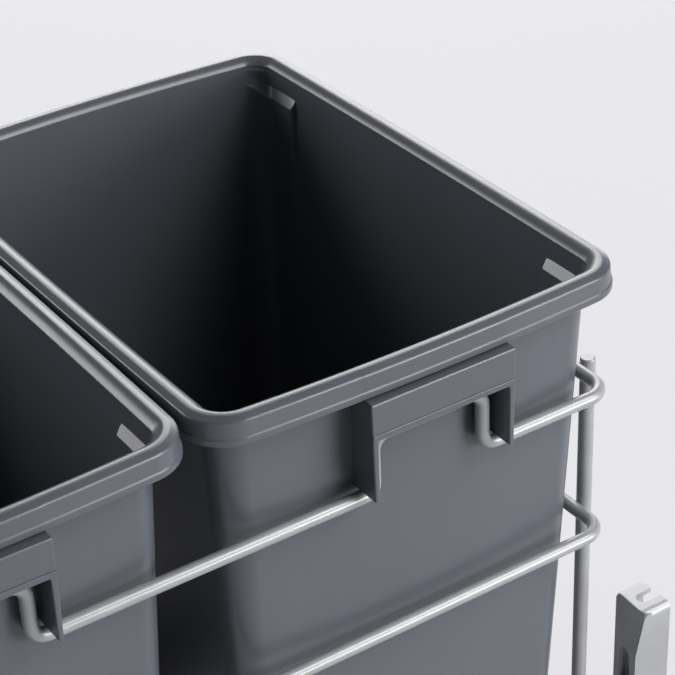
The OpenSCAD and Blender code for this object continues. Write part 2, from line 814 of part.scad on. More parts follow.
module inner_cage(side) {
    cage(side, middle_web_u + rail_sheet, inner_ball_v);
}

module outer_balls(side) {
    balls(side, outer_ball_v);
}

module inner_balls(side) {
    balls(side, inner_ball_v);
}

// Floor angle with an upright for the slide and a tab for the end stop
stop_x = -travel_half - seat_gap - bumper_t;
angle_x0 = stop_x - sheet_t;
angle_y0 = -slide_back_y - sheet_t;
angle_top_z = slide_z + slide_h / 2;
strap_x = floor_span_x / 2;

module floor_holes() {
    for (x = [-strap_x, strap_x], y = [-floor_y, floor_y])
        translate([x, y, -eps])
            cylinder(d = floor_hole_d, h = strap_top_z + 2 * eps, $fn = round_fn);
}

module floor_angle(side) {
    color(sheet_colour)
        on_side(side)
            difference() {
                union() {
                    translate([angle_x0, angle_y0, 0])
                        cube([travel_half - angle_x0, flange_w, sheet_t]);
                    translate([angle_x0, angle_y0, 0])
                        cube([travel_half - angle_x0, sheet_t, angle_top_z]);
                    translate([angle_x0, angle_y0, slide_z - slide_h / 4])
                        cube([sheet_t, sheet_t + slide_t, slide_h / 2]);
                }
                floor_holes();
                for (x = rivet_x)
                    round_y(x, angle_y0 - eps, angle_y0 + sheet_t + eps, slide_z, rivet_hole_d);
            }
}

module base_rivets(side) {
    color(zinc_colour)
        on_side(side)
            for (x = rivet_x)
                rivet(x, rail_sheet - slide_back_y, angle_y0, slide_z);
}

module strap(place) {
    half_w = floor_y + strap_end;
    color(sheet_colour)
        difference() {
            translate([place * strap_x - strap_w / 2, -half_w, sheet_t])
                cube([strap_w, 2 * half_w, sheet_t]);
            floor_holes();
        }
}

// Rubber end stop on the tab, in line with the inner rail
module bumper(side) {
    bumper_w = slide_t - inner_tip_u;
    color(rubber_colour)
        on_side(side)
            translate([stop_x, -slide_inner_y - bumper_w, slide_z - bumper_h / 2])
                cube([bumper_t, bumper_w, bumper_h]);
}

bin(front);  // bin_front
bin(rear);  // bin_rear
upper_hoop();
lower_hoop();
bottom_hoop();
front_post(left);  // post_front_left
front_post(right);  // post_front_right
rear_post(left);  // post_rear_left
rear_post(right);  // post_rear_right
slide_bracket(left);  // slide_bracket_left
slide_bracket(right);  // slide_bracket_right
bracket_rivets(left);  // bracket_rivets_left
bracket_rivets(right);  // bracket_rivets_right
front_carrier();
carrier_nuts();
door_bracket(left);  // door_bracket_left
door_bracket(right);  // door_bracket_right
bracket_screws(left);  // bracket_screws_left
bracket_screws(right);  // bracket_screws_right
inner_rail(left);  // inner_rail_left
inner_rail(right);  // inner_rail_right
middle_rail(left);  // middle_rail_left
middle_rail(right);  // middle_rail_right
outer_rail(left);  // outer_rail_left
outer_rail(right);  // outer_rail_right
inner_cage(left);  // inner_cage_left
inner_cage(right);  // inner_cage_right
outer_cage(left);  // outer_cage_left
outer_cage(right);  // outer_cage_right
inner_balls(left);  // inner_balls_left
inner_balls(right);  // inner_balls_right
outer_balls(left);  // outer_balls_left
outer_balls(right);  // outer_balls_right
floor_angle(left);  // floor_angle_left
floor_angle(right);  // floor_angle_right
base_rivets(left);  // base_rivets_left
base_rivets(right);  // base_rivets_right
strap(front);  // front_strap
strap(rear);  // rear_strap
bumper(left);  // bumper_left
bumper(right);  // bumper_right
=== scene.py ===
import math

import bmesh
import bpy
from mathutils import Matrix, Vector


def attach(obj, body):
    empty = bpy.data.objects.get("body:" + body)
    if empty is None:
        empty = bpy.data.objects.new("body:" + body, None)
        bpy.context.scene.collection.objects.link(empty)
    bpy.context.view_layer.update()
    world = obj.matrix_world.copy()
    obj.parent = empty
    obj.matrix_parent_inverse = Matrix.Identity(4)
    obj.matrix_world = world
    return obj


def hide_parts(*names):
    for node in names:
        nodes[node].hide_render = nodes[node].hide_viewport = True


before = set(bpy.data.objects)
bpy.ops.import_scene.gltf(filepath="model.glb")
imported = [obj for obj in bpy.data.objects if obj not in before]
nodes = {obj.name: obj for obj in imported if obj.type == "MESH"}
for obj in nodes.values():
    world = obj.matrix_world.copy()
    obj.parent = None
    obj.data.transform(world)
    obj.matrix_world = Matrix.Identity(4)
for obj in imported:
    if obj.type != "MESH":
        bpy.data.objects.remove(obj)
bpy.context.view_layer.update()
mm = 0.001
close = 0.01  # millimetres within which two places count as one
print("frame loaded,", len(nodes), "nodes")


# ways to add nodes to a finish
noiseSpan = (0.3, 0.7)  # where most of a noise's values lie


def startFinish(name, metallic):
    finish = bpy.data.materials.new(name)
    finish.use_nodes = True
    tree = finish.node_tree
    shader = tree.nodes["Principled BSDF"]
    shader.inputs["Metallic"].default_value = metallic
    shader.inputs["IOR"].default_value = 1.5
    place = tree.nodes.new("ShaderNodeTexCoord").outputs["Object"]
    return finish, tree, shader, place


def addNoise(tree, place, scale, detail, stretch=None):
    if stretch:
        mapping = tree.nodes.new("ShaderNodeMapping")
        mapping.inputs["Scale"].default_value = stretch
        tree.links.new(place, mapping.inputs["Vector"])
        place = mapping.outputs["Vector"]
    noise = tree.nodes.new("ShaderNodeTexNoise")
    noise.inputs["Scale"].default_value = scale
    noise.inputs["Detail"].default_value = detail
    tree.links.new(place, noise.inputs["Vector"])
    return noise.outputs["Fac"]


def addCells(tree, place, scale):
    cells = tree.nodes.new("ShaderNodeTexVoronoi")
    cells.inputs["Scale"].default_value = scale
    tree.links.new(place, cells.inputs["Vector"])
    return cells.outputs["Color"]


def addRamp(tree, source, span, dark, light):
    ramp = tree.nodes.new("ShaderNodeValToRGB")
    for spot, at, colour in zip(ramp.color_ramp.elements, span, (dark, light)):
        spot.position = at
        spot.color = (*colour, 1)
    tree.links.new(source, ramp.inputs["Fac"])
    return ramp.outputs["Color"]


def addRange(tree, source, span, ends):
    fit = tree.nodes.new("ShaderNodeMapRange")
    for key, value in zip(("From Min", "From Max", "To Min", "To Max"), (*span, *ends)):
        fit.inputs[key].default_value = value
    tree.links.new(source, fit.inputs["Value"])
    return fit.outputs["Result"]


def addBlend(tree, share, tone, over):
    mix = tree.nodes.new("ShaderNodeMix")
    mix.data_type = "RGBA"
    tree.links.new(share, mix.inputs["Factor"])
    tree.links.new(tone, mix.inputs["A"])
    mix.inputs["B"].default_value = (*over, 1)
    return mix.outputs["Result"]


def linkFinish(tree, shader, colour, roughness, bumps):
    tree.links.new(colour, shader.inputs["Base Color"])
    tree.links.new(roughness, shader.inputs["Roughness"])
    last = None
    for height, strength, depth in bumps:
        bump = tree.nodes.new("ShaderNodeBump")
        bump.inputs["Strength"].default_value = strength
        bump.inputs["Distance"].default_value = depth * mm
        tree.links.new(height, bump.inputs["Height"])
        if last:
            tree.links.new(last, bump.inputs["Normal"])
        last = bump.outputs["Normal"]
    tree.links.new(last, shader.inputs["Normal"])


# anthracite moulded plastic, satin, with a faint grain, flow marks and rubbed streaks from lifting the bins
plasticLook = {
    "dark": (0.061, 0.066, 0.078), "light": (0.069, 0.075, 0.088), "rubbed": (0.082, 0.088, 0.101),
    "flow": 9, "flowStretch": (1, 1, 0.4), "cloud": 35, "shine": (0.28, 0.33),
    "streak": 60, "streakStretch": (3.0, 3.0, 0.10), "streakSpan": (0.66, 0.80), "rubbedMost": 0.3,
    "ripple": 22, "rippleBump": (0.05, 0.6), "grain": 1500, "grainBump": (0.04, 0.04),
}


def makePlastic(look):
    finish, tree, shader, place = startFinish("mouldedPlastic", 0.0)
    flow = addNoise(tree, place, look["flow"], 4, look["flowStretch"])
    streaks = addNoise(tree, place, look["streak"], 6, look["streakStretch"])
    rubbed = addRange(tree, streaks, look["streakSpan"], (0, look["rubbedMost"]))
    body = addRamp(tree, flow, noiseSpan, look["dark"], look["light"])
    cloud = addNoise(tree, place, look["cloud"], 5)
    ripple = addNoise(tree, place, look["ripple"], 1)
    grain = addNoise(tree, place, look["grain"], 2)
    linkFinish(tree, shader, addBlend(tree, rubbed, body, look["rubbed"]),
               addRange(tree, cloud, noiseSpan, look["shine"]),
               [(ripple, *look["rippleBump"]), (grain, *look["grainBump"])])
    return finish


# silver satin coat of the wire, with fine flakes and a faint orange-peel skin
wireLook = {
    "dark": (0.225, 0.23, 0.237), "light": (0.262, 0.267, 0.274), "toneSpan": (0.32, 0.68), "cloud": 45,
    "shine": (0.28, 0.36), "flake": 2600, "flakeTone": (0.33, 0.34, 0.35), "flakeMost": 0.18,
    "peel": 420, "peelBump": (0.10, 0.08),
}


def makeWireCoat(look):
    finish, tree, shader, place = startFinish("silverCoat", 0.15)
    cloud = addNoise(tree, place, look["cloud"], 5)
    flakes = addCells(tree, place, look["flake"])
    tone = addRamp(tree, cloud, look["toneSpan"], look["dark"], look["light"])
    share = addRange(tree, flakes, (0, 1), (0, look["flakeMost"]))
    peel = addNoise(tree, place, look["peel"], 2)
    linkFinish(tree, shader, addBlend(tree, share, tone, look["flakeTone"]),
               addRange(tree, cloud, noiseSpan, look["shine"]), [(peel, *look["peelBump"])])
    return finish


# grey coat on folded sheet, with an orange-peel skin and rubbed spots
sheetLook = {
    "name": "sheetCoat", "metallic": 0.35, "dark": (0.30, 0.306, 0.314), "light": (0.37, 0.376, 0.384),
    "toneSpan": (0.32, 0.68), "cloud": 30, "shine": (0.34, 0.46),
    "scuff": 110, "scuffStretch": (1, 4, 4), "scuffSpan": (0.64, 0.78), "worn": 0.45,
    "peel": 520, "peelBump": (0.16, 0.10),
}

# light satin coat over the cast door brackets
castLook = {
    **sheetLook, "name": "doorCastCoat", "metallic": 0.1, "dark": (0.30, 0.307, 0.32),
    "light": (0.336, 0.344, 0.358), "shine": (0.28, 0.34), "peel": 780, "worn": 0.15,
}


def makeSheetCoat(look):
    finish, tree, shader, place = startFinish(look["name"], look["metallic"])
    cloud = addNoise(tree, place, look["cloud"], 6)
    scuffs = addNoise(tree, place, look["scuff"], 7, look["scuffStretch"])
    tone = addRamp(tree, cloud, look["toneSpan"], look["dark"], look["light"])
    worn = addRange(tree, scuffs, look["scuffSpan"], (0, look["worn"]))
    peel = addNoise(tree, place, look["peel"], 2)
    linkFinish(tree, shader, addBlend(tree, worn, tone, look["dark"]),
               addRange(tree, cloud, noiseSpan, look["shine"]), [(peel, *look["peelBump"])])
    return finish


# zinc plate on the slides, rivets, nuts and screws: small spangles and lines along the rolling direction
zincLook = {
    "name": "zincPlate", "dark": (0.42, 0.43, 0.44), "light": (0.54, 0.55, 0.56), "toneSpan": (0.1, 0.9),
    "shine": (0.28, 0.42), "spangle": 160, "line": 900, "lineStretch": (0.02, 1, 1),
    "lineSpan": (0.35, 0.75), "worn": 0.35, "lineBump": (0.08, 0.05),
}

# the ball cages' steel has finer spangles
cageLook = {
    **zincLook, "name": "cageSteel", "dark": (0.42, 0.42, 0.43), "light": (0.56, 0.56, 0.57),
    "shine": (0.30, 0.44), "spangle": 240,
}


def makeZinc(look):
    finish, tree, shader, place = startFinish(look["name"], 1.0)
    spangle = addCells(tree, place, look["spangle"])
    lines = addNoise(tree, place, look["line"], 3, look["lineStretch"])
    tone = addRamp(tree, spangle, look["toneSpan"], look["dark"], look["light"])
    worn = addRange(tree, lines, look["lineSpan"], (0, look["worn"]))
    linkFinish(tree, shader, addBlend(tree, worn, tone, look["dark"]),
               addRange(tree, lines, noiseSpan, look["shine"]), [(lines, *look["lineBump"])])
    return finish


# soft end stops with a dusty, pitted skin
rubberLook = {
    "dark": (0.018, 0.018, 0.020), "light": (0.034, 0.034, 0.036), "toneSpan": (0.35, 0.7),
    "shine": (0.62, 0.82), "dust": 160, "pit": 1400, "pitBump": (0.3, 0.10),
}


def makeRubber(look):
    finish, tree, shader, place = startFinish("endStopRubber", 0.0)
    dust = addNoise(tree, place, look["dust"], 6)
    pits = addNoise(tree, place, look["pit"], 2)
    linkFinish(tree, shader, addRamp(tree, dust, look["toneSpan"], look["dark"], look["light"]),
               addRange(tree, dust, noiseSpan, look["shine"]), [(pits, *look["pitBump"])])
    return finish


finishes = {
    "bin_plastic": makePlastic(plasticLook), "wire_coat": makeWireCoat(wireLook),
    "sheet_steel": makeSheetCoat(sheetLook), "door_cast": makeSheetCoat(castLook),
    "zinc_steel": makeZinc(zincLook), "cage_steel": makeZinc(cageLook), "rubber": makeRubber(rubberLook),
}
print("finishes ready")


# ways to shape a mesh, close it and hand it to its body
def onlyVerts(parts):
    return [p for p in parts if isinstance(p, bmesh.types.BMVert)]


def onlyEdges(parts):
    return [p for p in parts if isinstance(p, bmesh.types.BMEdge)]


def growRing(bm, ring):
    grown = bmesh.ops.extrude_edge_only(bm, edges=ring)["geom"]
    fresh = onlyVerts(grown)
    known = set(fresh)
    return fresh, [e for e in onlyEdges(grown) if all(v in known for v in e.verts)]


def growFaces(bm, faces):
    return onlyVerts(bmesh.ops.extrude_face_region(bm, geom=faces)["geom"])


def liesAt(edge, axis, level):
    return all(abs(getattr(v.co, axis) - level) < close for v in edge.verts)


def sharpEdges(bm, least=35):
    return [e for e in bm.edges if e.is_manifold and e.calc_face_angle(0) > math.radians(least)]


def roundEdges(bm, edges, size, segments, clamp=False):
    bmesh.ops.bevel(bm, geom=edges, offset=size, offset_type="OFFSET", segments=segments, profile=0.5,
                    affect="EDGES", material=-1, clamp_overlap=clamp)


def roundCorners(bm, verts, size, segments):
    bmesh.ops.bevel(bm, geom=verts, offset=size, offset_type="OFFSET", segments=segments, profile=0.5,
                    affect="VERTICES", material=-1, clamp_overlap=False)


def shadeByAngle(bm, angle):
    for face in bm.faces:
        face.smooth = True
    for edge in bm.edges:
        edge.smooth = len(edge.link_faces) != 2 or edge.calc_face_angle(0) < math.radians(angle)


def finishPiece(name, bm, body, slotName, replaced=(), angle=38):
    shadeByAngle(bm, angle)
    bmesh.ops.scale(bm, vec=(mm, mm, mm), verts=bm.verts[:])
    mesh = bpy.data.meshes.new(name)
    bm.to_mesh(mesh)
    bm.free()
    mesh.materials.append(finishes[slotName])
    piece = bpy.data.objects.new(name, mesh)
    bpy.context.scene.collection.objects.link(piece)
    flatter = piece.modifiers.new("flatFaces", "WEIGHTED_NORMAL")
    flatter.keep_sharp = True
    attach(piece, body)
    if replaced:
        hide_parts(*replaced)


# the moulded bin: section as (inset from the rim's outside, height above the crest), all in millimetres
binShape = {
    "length": 236, "width": 328, "height": 410, "middleX": 119.5, "rimZ": 425,
    "rimCorner": 21, "mouthCorner": 10.5, "wallCorner": 15, "cornerSteps": 14, "bowSide": 4.1, "bowEnd": 1.1,
    "rimWidth": 12.5, "mouthWidth": 10.8, "wall": 2.4, "draft": 2.2, "softEdge": 0.6,
    "footRadius": 8, "footWidth": 12, "footRecess": 3, "overFoot": 4, "floorReach": 30,
    "outerCuts": (300, 200, 100, 40, 12), "innerCuts": (6.5, 9, 12, 16, 20, 25, 30, 36, 100, 200, 300),
    "underLedge": 5.6, "ledgeFillet": 1.2, "underCrest": 2.9, "crestHalf": 1.6,
    "skirtDrop": 13.6, "skirtThick": 2.2, "skirtTop": ((0.5, -4.4), (0, -5.2)), "flare": 1.0,
    "lipHigh": 3.6, "lipSteps": ((0, -0.35), (0.05, -0.2), (0.5, 0.25), (0.56, 0.45)),
    "edgeRadius": 1.2, "outSlope": 27, "outRadius": 2.0, "crestAt": 5.0, "crestRadius": 8.0, "crestTilt": 12,
    "inRadius": 4.5, "inSlope": 24, "slopeRadius": 10.1, "mouthSlope": 52, "mouthRadius": 1.2, "mouthDeep": 5,
    "mouthBlend": (5, 20), "sideCuts": 19, "endCuts": 18,
    "markAt": (-38.5, 42.5), "markWidth": 0.3, "markStep": 0.22,
}


def arcPoints(u, z, radius, start, end, steps):
    turns = [math.radians(start + (end - start) * i / steps) for i in range(steps + 1)]
    return [(u + radius * math.cos(t), z + radius * math.sin(t)) for t in turns]


def binSection(b):
    lean = math.tan(math.radians(b["draft"]))

    def inner(depth):
        return b["mouthWidth"] + depth * lean

    def outer(depth):
        return b["rimWidth"] - b["wall"] + depth * lean

    # foot ring, outer wall and the ledge's underside
    tall, footR, soft = b["height"], b["footRadius"], b["softEdge"]
    footU = outer(tall)
    footIn = footU + footR + b["footWidth"]
    path = [(footIn + b["footRecess"], b["footRecess"] - tall), (footIn + soft, soft - tall), (footIn - soft, -tall)]
    path += [(u - (z + tall) * lean, z) for u, z in arcPoints(footU + footR, footR - tall, footR, 270, 180, 8)]
    path += [(outer(d), -d) for d in (tall - footR - b["overFoot"], *b["outerCuts"])]
    under, fillet = b["underLedge"], b["ledgeFillet"]
    path += arcPoints(outer(under) - fillet, -under - fillet, fillet, 0, 90, 4)
    path += [(b["crestAt"] + s * b["crestHalf"], -b["underCrest"]) for s in (1, -1)]
    # down inside the skirt, round its lip and up over the step
    skirtIn, drop, flare = b["skirtThick"], b["skirtDrop"], b["flare"]
    path += [(skirtIn + u, z) for u, z in b["skirtTop"]]
    path += [(skirtIn - flare, soft - drop), (skirtIn - flare - soft, -drop)]
    path += arcPoints(soft - flare, soft - drop, soft, 270, 180, 4)
    path += [(u - flare, b["lipHigh"] - drop + z) for u, z in b["lipSteps"]]
    # outer edge and slope up to the crest
    rise, top = 90 + b["outSlope"], 90 + b["crestTilt"]
    turn, reach = math.radians(b["crestTilt"]), b["crestRadius"] - b["outRadius"]
    outside = arcPoints(b["crestAt"] - reach * math.sin(turn), reach * math.cos(turn) - b["crestRadius"],
                        b["outRadius"], rise, top, 5)
    outside += arcPoints(b["crestAt"], -b["crestRadius"], b["crestRadius"], top, 90, 5)[1:]
    turn, edgeR = math.radians(b["outSlope"]), b["edgeRadius"]
    startU, startZ = outside[0]
    edgeZ = startZ - (startU - edgeR * (1 - math.sin(turn))) * math.tan(turn) - edgeR * math.cos(turn)
    path += arcPoints(edgeR, edgeZ, edgeR, 180, rise, 8) + outside
    outsideCount = len(path)
    # from the crest in to the mouth, down the inner wall and over the floor
    fall, last = 90 - b["inSlope"], 90 - b["mouthSlope"]
    path += arcPoints(b["crestAt"], -b["inRadius"], b["inRadius"], 90, fall, 12)[1:]
    turn, slopeR = math.radians(fall), b["slopeRadius"]
    endU, endZ = path[-1]
    path += arcPoints(endU - slopeR * math.cos(turn), endZ - slopeR * math.sin(turn), slopeR, fall, last, 10)[1:]
    turn, mouthR = math.radians(last), b["mouthRadius"]
    endU, endZ = path[-1]
    mouthU = inner(b["mouthDeep"]) - mouthR * (1 - math.cos(turn))
    mouthDepth = mouthR * math.sin(turn) - (endZ - (mouthU - endU) / math.tan(turn))
    path += arcPoints(inner(mouthDepth) - mouthR, -mouthDepth, mouthR, last, 0, 10)
    floorDepth = tall - b["footRecess"] - b["wall"]
    floorU = inner(floorDepth)
    path += [(inner(d), -d) for d in (*b["innerCuts"], floorDepth - footR - b["overFoot"])]
    path += [(u - (z + floorDepth) * lean, z) for u, z in
             arcPoints(floorU + footR, footR - floorDepth, footR, 180, 270, 8)]
    path += [(floorU + b["floorReach"], -floorDepth)]
    return [(u, z, i >= outsideCount) for i, (u, z) in enumerate(path)]


def cornerRadius(b, inset, z, inside):
    radius = b["rimCorner"] - inset * (b["rimCorner"] - b["wallCorner"]) / (b["rimWidth"] - b["wall"])
    if inside:  # tighter at the mouth, then back to the wall's corner
        share = min(1, (inset - b["crestAt"]) / (b["mouthWidth"] - b["crestAt"]))
        radius += (b["mouthCorner"] - radius) * share
        top, foot = b["mouthBlend"]
        deep = max(0, min(1, (-z - top) / (foot - top)))
        return radius + (b["wallCorner"] - radius) * deep * deep * (3 - 2 * deep)
    return max(b["wallCorner"], radius)


def ringSpot(b, base, inset, z, inside):
    fullL, fullW, fullR = b["length"] / 2, b["width"] / 2, b["rimCorner"]
    halfL, halfW = fullL - inset, fullW - inset
    radius = cornerRadius(b, inset, z, inside)
    coreX = max(fullR - fullL, min(fullL - fullR, base.x))
    coreY = max(fullR - fullW, min(fullW - fullR, base.y))
    grow = radius / fullR
    x = coreX * (halfL - radius) / (fullL - fullR) + (base.x - coreX) * grow
    y = coreY * (halfW - radius) / (fullW - fullR) + (base.y - coreY) * grow
    onRim = -b["lipHigh"] < z and inset < b["crestAt"]
    mark = b["markStep"] * base.z if onRim else 0  # the rim stands out a little over a hook
    bowX = x * (1 - b["bowEnd"] / halfL * (y / halfW) ** 2)
    bowY = y * (1 - b["bowSide"] / halfW * (x / halfL) ** 2)
    return Vector((bowX, bowY + math.copysign(mark, y), z))


def startRing(bm, b):
    bmesh.ops.create_grid(bm, x_segments=1, y_segments=1, size=0.5)
    bmesh.ops.scale(bm, vec=(b["length"], b["width"], 1), verts=bm.verts[:])
    roundCorners(bm, bm.verts[:], b["rimCorner"], b["cornerSteps"])
    bmesh.ops.delete(bm, geom=bm.faces[:], context="FACES_ONLY")
    straightX = b["length"] / 2 - b["rimCorner"]
    sides = [e for e in bm.edges if abs(abs(e.verts[0].co.x - e.verts[1].co.x) - 2 * straightX) < 10 * close]
    ends = [e for e in bm.edges if abs(e.verts[0].co.y - e.verts[1].co.y) > b["width"] / 2]
    marks = [at + s * b["markWidth"] / 2 for at in b["markAt"] for s in (-1, 1)]
    even = [straightX * (2 * (i + 1) / (b["sideCuts"] + 1) - 1) for i in range(b["sideCuts"])]
    spots = sorted(even + marks)
    bmesh.ops.subdivide_edges(bm, edges=ends, cuts=b["endCuts"])
    for edge in sides:
        level = edge.verts[0].co.y
        cut = bmesh.ops.subdivide_edges(bm, edges=[edge], cuts=len(spots))
        for vert, x in zip(sorted(onlyVerts(cut["geom_inner"]), key=lambda v: v.co.x), spots):
            vert.co = (x, level, 0)
    bmesh.ops.remove_doubles(bm, verts=bm.verts[:], dist=0.001)
    base = bm.verts.layers.float_vector.new("base")
    low, high = b["markAt"]
    for vert in bm.verts:
        onSide = abs(vert.co.y) > b["width"] / 2 - close
        vert[base] = (vert.co.x, vert.co.y, 1.0 if onSide and low < vert.co.x < high else 0.0)
    return base


def makeShell(b, name, place, node):
    bm = bmesh.new()
    base = startRing(bm, b)
    section = binSection(b)
    for vert in bm.verts:
        vert.co = ringSpot(b, vert[base], *section[0])
    firstRing = ring = bm.edges[:]
    for step in section[1:]:
        fresh, ring = growRing(bm, ring)
        for vert in fresh:
            vert.co = ringSpot(b, vert[base], *step)
    bmesh.ops.edgeloop_fill(bm, edges=firstRing)
    bmesh.ops.edgeloop_fill(bm, edges=ring)
    bmesh.ops.translate(bm, vec=(place * b["middleX"], 0, b["rimZ"]), verts=bm.verts[:])
    bmesh.ops.recalc_face_normals(bm, faces=bm.faces[:])
    finishPiece(name, bm, node, "bin_plastic", [node], 50)


makeShell(binShape, "binFrontShell", 1, "bin_front")
makeShell(binShape, "binRearShell", -1, "bin_rear")
print("bin shells swept")


# hook under the rim: a plate with a lip, closed at the top, on two tapered ribs
hookShape = {
    "x": (-38.5, 42.5), "top": -14.4, "plateHigh": 19.3, "plateThick": 2.6, "ribFoot": -67.4, "ribThick": 3.5,
    "ribTaper": 0.8, "face": -169.4, "lipHigh": 3.0, "lipOut": 0.6, "lipSunk": 1.2, "lipInset": 0.2,
    "lipRound": 0.3, "innerCorner": 2.2, "innerRound": 0.8, "frontRound": 0.9, "edgeRound": 0.35, "wallBite": 0.5,
}


def wallFace(b, depth):
    return -(b["width"] / 2 - b["rimWidth"] + b["wall"] - depth * math.tan(math.radians(b["draft"])))


def makeHook(h, b):
    bm = bmesh.new()
    (low, high), top, foot = h["x"], h["top"], h["ribFoot"]
    left, right = low + h["ribThick"], high - h["ribThick"]  # the opening between the ribs
    plateFoot, underTop = top - h["plateHigh"], top - h["plateThick"]
    corners = [(low, top), (high, top), (high - h["ribTaper"], foot), (right, foot), (right, plateFoot),
               (left, plateFoot), (left, foot), (low + h["ribTaper"], foot)]
    spots = [bm.verts.new((x, h["face"], z)) for x, z in corners]
    bm.faces.new(spots)
    roundCorners(bm, spots[4:6], h["innerCorner"], 5)
    bmesh.ops.translate(bm, vec=(0, h["plateThick"], 0), verts=growFaces(bm, bm.faces[:]))
    bmesh.ops.recalc_face_normals(bm, faces=bm.faces[:])
    for spot, normal in (((left, 0, 0), (1, 0, 0)), ((right, 0, 0), (1, 0, 0)), ((0, 0, underTop), (0, 0, 1))):
        bmesh.ops.bisect_plane(bm, geom=bm.verts[:] + bm.edges[:] + bm.faces[:], dist=0.001,
                               plane_co=spot, plane_no=normal)
    behind = []  # the backs of the ribs and the top, which reach the bin's wall
    for face in bm.faces:
        mid = face.calc_center_median()
        onBack = abs(mid.y - h["face"] - h["plateThick"]) < close
        if onBack and (mid.x < left or mid.x > right or mid.z > underTop):
            behind.append(face)
    for vert in growFaces(bm, behind):
        vert.co.y = wallFace(b, -vert.co.z) + h["wallBite"]
    bmesh.ops.delete(bm, geom=[f for f in behind if f.is_valid], context="FACES_ONLY")
    bmesh.ops.delete(bm, geom=[e for e in bm.edges if not e.link_faces], context="EDGES")
    bmesh.ops.remove_doubles(bm, verts=bm.verts[:], dist=0.002)
    bmesh.ops.recalc_face_normals(bm, faces=bm.faces[:])
    bmesh.ops.dissolve_limit(bm, angle_limit=math.radians(1), verts=bm.verts[:], edges=bm.edges[:])
    margin = h["ribThick"] / 2
    onFace = [e for e in sharpEdges(bm) if liesAt(e, "y", h["face"]) and not liesAt(e, "z", foot)]
    opening = [e for e in onFace if all(low + margin < v.co.x < high - margin and v.co.z < plateFoot + close
                                        for v in e.verts)]
    outline = [e for e in onFace if e not in opening]
    outline += [e for e in sharpEdges(bm) if liesAt(e, "z", top)
                and abs(e.verts[0].co.x - e.verts[1].co.x) < close]
    roundEdges(bm, outline, h["frontRound"], 5)
    roundEdges(bm, [e for e in opening if e.is_valid], h["innerRound"], 5)
    roundEdges(bm, sharpEdges(bm), h["edgeRound"], 3)
    lipSize = Matrix.Diagonal((high - low - 2 * h["lipInset"], h["lipOut"] + h["lipSunk"], h["lipHigh"], 1))
    lipPlace = ((low + high) / 2, h["face"] + (h["lipSunk"] - h["lipOut"]) / 2, plateFoot + h["lipHigh"] / 2)
    lip = bmesh.ops.create_cube(bm, size=1, matrix=Matrix.Translation(lipPlace) @ lipSize)["verts"]
    roundEdges(bm, list({e for v in lip for e in v.link_edges}), h["lipRound"], 3)
    return bm


# shoulder inside a front corner: swept round the corner, sloping in from the wall and fading back into it
shoulderShape = {
    "long": 45.0, "lastX": 101.5, "out": 3.1, "cuts": 10, "endRun": 4.9, "cornerRun": 14.0, "sunk": 0.2,
    "back": 0.2, "rows": ((14.6, 0.0), (18.9, 0.82), (19.35, 0.93), (19.75, 1.0), (20.5, 1.0), (85, 0.0)),
}


def makeShoulder(s, b):
    bm = bmesh.new()
    fullL, fullW = b["length"] / 2, b["width"] / 2
    startY = fullW - s["long"]
    spots = [bm.verts.new(c) for c in ((fullL, startY, 0), (fullL, fullW, 0), (0, fullW, 0), (0, startY, 0))]
    bm.faces.new(spots)
    roundCorners(bm, [spots[1]], b["rimCorner"], b["cornerSteps"])
    bmesh.ops.delete(bm, geom=bm.faces[:], context="FACES_ONLY")
    bmesh.ops.delete(bm, geom=[v for v in bm.verts if v.co.x < s["lastX"]], context="VERTS")
    straight = max(bm.edges, key=lambda e: e.calc_length())
    bmesh.ops.subdivide_edges(bm, edges=[straight], cuts=s["cuts"])
    corner = Vector((fullL - b["rimCorner"], fullW - b["rimCorner"], 0))
    along = sorted([v for v in bm.verts if v.co.y < corner.y - close], key=lambda v: v.co.y)
    for i, vert in enumerate(along):  # closer steps towards the shoulder's end
        vert.co.y = startY + (corner.y - startY) * (i / len(along)) ** 2
    lastTurn = max(math.atan2(v.co.y - corner.y, v.co.x - corner.x) for v in bm.verts)
    base = bm.verts.layers.float_vector.new("base")
    for vert in bm.verts:
        turn = max(0.0, math.atan2(vert.co.y - corner.y, vert.co.x - corner.x))
        cornerShare = (lastTurn - turn) * b["wallCorner"] / s["cornerRun"]
        share = min(1.0, (vert.co.y - startY) / s["endRun"], cornerShare)
        vert[base] = (vert.co.x, vert.co.y, share)
    lean = math.tan(math.radians(b["draft"]))
    top, foot = s["rows"][0][0], s["rows"][-1][0]

    def spot(vert, depth, out):
        rise = -s["back"] if out is None else (s["out"] * out + s["sunk"]) * vert[base].z - s["sunk"]
        if out and depth < foot:  # the slope keeps its plane where an end cuts across it
            depth = top + (depth - top) * vert[base].z
        return ringSpot(b, vert[base], b["mouthWidth"] + depth * lean + rise, -depth, True)

    rows = [(top, None), *s["rows"], (foot, None), (top, None)]
    ring = bm.edges[:]
    for vert in bm.verts:
        vert.co = spot(vert, *rows[0])
    for row in rows[1:]:
        fresh, ring = growRing(bm, ring)
        for vert in fresh:
            vert.co = spot(vert, *row)
    bmesh.ops.remove_doubles(bm, verts=bm.verts[:], dist=0.002)
    bmesh.ops.holes_fill(bm, edges=[e for e in bm.edges if e.is_boundary], sides=0)
    bmesh.ops.scale(bm, vec=(1, -1, 1), verts=bm.verts[:])  # start on the -Y side, like the hook
    bmesh.ops.recalc_face_normals(bm, faces=bm.faces[:])
    return bm


def copyTo(source, b, place, side):
    bm = source.copy()
    if side > 0:
        bmesh.ops.scale(bm, vec=(1, -1, 1), verts=bm.verts[:])
        bmesh.ops.reverse_faces(bm, faces=bm.faces[:])
    bmesh.ops.translate(bm, vec=(place * b["middleX"], 0, b["rimZ"]), verts=bm.verts[:])
    return bm


